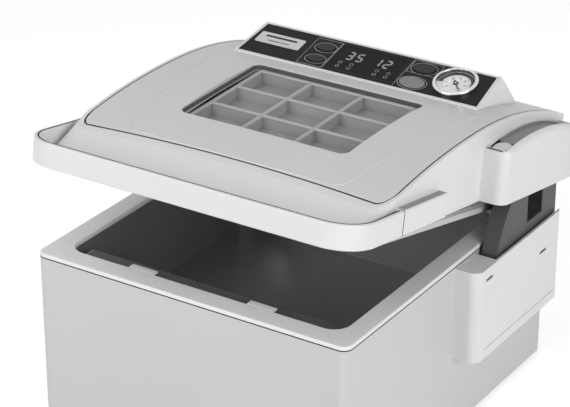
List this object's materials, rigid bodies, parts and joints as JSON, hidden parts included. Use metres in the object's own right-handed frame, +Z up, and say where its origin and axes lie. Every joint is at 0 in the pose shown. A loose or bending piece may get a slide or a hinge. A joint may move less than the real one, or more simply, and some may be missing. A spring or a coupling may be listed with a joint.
{
  "type": "vacuum sealer",
  "caption": "Countertop chamber vacuum sealer with a hinged lid, a wrap-round handle, a ribbed clear window, a sloped control panel with a gauge, and a seal bar in its chamber.",
  "frame": {"origin": "under the middle of the whole sealer, on the plane its feet rest on", "axes": "+X to the right as seen from the front, +Y to the back, +Z up"},
  "size_m": [0.366, 0.3861, 0.2917],
  "materials": {
    "cabinet_grey": "satin moulded plastic",
    "rim_grey": "glossy moulded plastic",
    "casing_white": "semi-gloss moulded plastic",
    "cover_silver": "silver-grey lacquered plastic",
    "clear_moulding": "clear acrylic",
    "arm_grey": "fine-grained dark plastic",
    "chamber_steel": "brushed stainless steel",
    "plain_steel": "bright steel",
    "base_steel": "black painted sheet",
    "bar_aluminium": "machined",
    "wire_metal": "flat heating strip",
    "tape_brown": "coated glass cloth",
    "rubber_black": "soft",
    "gasket_grey": "silicone",
    "panel_black": "glossy film",
    "display_dark": "smoked window",
    "label_light": "bare plate",
    "button_dark": "soft touch",
    "button_grey": "soft touch",
    "ring_chrome": "polished",
    "dial_white": "printed dial",
    "needle_dark": "matt paint",
    "gauge_glass": "clear",
    "board_green": "laminate",
    "pump_alu": "cast",
    "motor_black": "painted",
    "core_iron": "laminated sheet",
    "coil_copper": "enamelled wire",
    "hose_clear": "reinforced tube",
    "inlet_black": "moulded"
  },
  "bodies": {
    "base": {"base_plate": "base_steel", "base_screws": "plain_steel", "board_standoffs": "board_green", "body_shell": "cabinet_grey", "chamber_well": "chamber_steel", "clip_pins": "plain_steel", "hinge_box_left": "casing_white", "hinge_box_right": "casing_white", "hinge_brackets": "plain_steel", "hinge_pins": "plain_steel", "hinge_springs": "plain_steel", "lid_switch": "inlet_black", "lift_cylinders": "plain_steel", "pin_clips": "plain_steel", "power_board": "board_green", "power_inlet": "inlet_black", "pump_head": "pump_alu", "pump_motor": "motor_black", "pump_mounts": "rubber_black", "release_valve": "pump_alu", "rim_frame": "rim_grey", "rubber_feet": "rubber_black", "transformer_coil": "coil_copper", "transformer_core": "core_iron", "vacuum_hose": "hose_clear", "vacuum_port": "plain_steel"},
    "lid": {"lid_frame": "casing_white", "lid_top_cover": "cover_silver", "handle_bar": "casing_white", "handle_ends": "casing_white", "pressure_lid": "clear_moulding", "lid_gasket": "gasket_grey", "seal_pad": "gasket_grey", "pad_holder": "bar_aluminium", "panel_housing": "casing_white", "panel_overlay": "panel_black", "display_lens": "display_dark", "label_plate": "label_light", "gauge_case": "ring_chrome", "gauge_dial": "dial_white", "gauge_glass": "gauge_glass", "control_board": "board_green", "hinge_arm_left": "arm_grey", "hinge_arm_right": "arm_grey", "hinge_cover_left": "casing_white", "hinge_cover_right": "casing_white", "arm_bolts": "plain_steel", "hood_plugs": "casing_white"},
    "seal_bar": {"seal_bar": "bar_aluminium", "seal_wire": "wire_metal", "seal_tape": "tape_brown"},
    "bag_clip_left": {"bag_clip_left": "casing_white"},
    "bag_clip_right": {"bag_clip_right": "casing_white"},
    "power_button": {"power_button": "button_dark"},
    "mode_button": {"mode_button": "button_dark"},
    "start_button": {"start_button": "button_dark"},
    "stop_button": {"stop_button": "button_grey"},
    "gauge_needle": {"gauge_needle": "needle_dark"},
    "pump_fan": {"motor_shaft": "plain_steel", "motor_fan": "inlet_black"}
  },
  "joints": [
    {"name": "lid_hinge", "type": "hinge", "parent": "base", "child": "lid", "pos_m": [0, 0.139, 0.136], "axis": [-1, 0, 0], "range_deg": [-13.58, 30]},
    {"name": "seal_bar_lift", "type": "slide", "parent": "base", "child": "seal_bar", "axis": [0, 0, 1], "range_m": [0, 0.006]},
    {"name": "bag_clip_left_turn", "type": "hinge", "parent": "base", "child": "bag_clip_left", "pos_m": [-0.061, -0.162, 0.16], "axis": [-1, 0, 0], "range_deg": [0, 25], "stiffness_Nm_per_rad": 0.02, "springref_deg": -5.73},
    {"name": "bag_clip_right_turn", "type": "hinge", "parent": "base", "child": "bag_clip_right", "pos_m": [0.061, -0.162, 0.16], "axis": [-1, 0, 0], "range_deg": [0, 25], "stiffness_Nm_per_rad": 0.02, "springref_deg": -5.73},
    {"name": "power_button_press", "type": "slide", "parent": "lid", "child": "power_button", "axis": [0, 0.2341, -0.9722], "range_m": [0, 0.0008], "stiffness_N_per_m": 800, "springref_m": -0.0004},
    {"name": "mode_button_press", "type": "slide", "parent": "lid", "child": "mode_button", "axis": [0, 0.2341, -0.9722], "range_m": [0, 0.0008], "stiffness_N_per_m": 800, "springref_m": -0.0004},
    {"name": "start_button_press", "type": "slide", "parent": "lid", "child": "start_button", "axis": [0, 0.2341, -0.9722], "range_m": [0, 0.0008], "stiffness_N_per_m": 800, "springref_m": -0.0004},
    {"name": "stop_button_press", "type": "slide", "parent": "lid", "child": "stop_button", "axis": [0, 0.2341, -0.9722], "range_m": [0, 0.0008], "stiffness_N_per_m": 800, "springref_m": -0.0004},
    {"name": "gauge_needle_turn", "type": "hinge", "parent": "lid", "child": "gauge_needle", "pos_m": [0.0922, 0.1062, 0.28323], "axis": [0, -0.2341, 0.9722], "range_deg": [0, 270], "stiffness_Nm_per_rad": 0.0002},
    {"name": "pump_fan_spin", "type": "hinge", "parent": "base", "child": "pump_fan", "pos_m": [0.055, 0.014, 0.043], "axis": [1, 0, 0], "continuous": true}
  ]
}
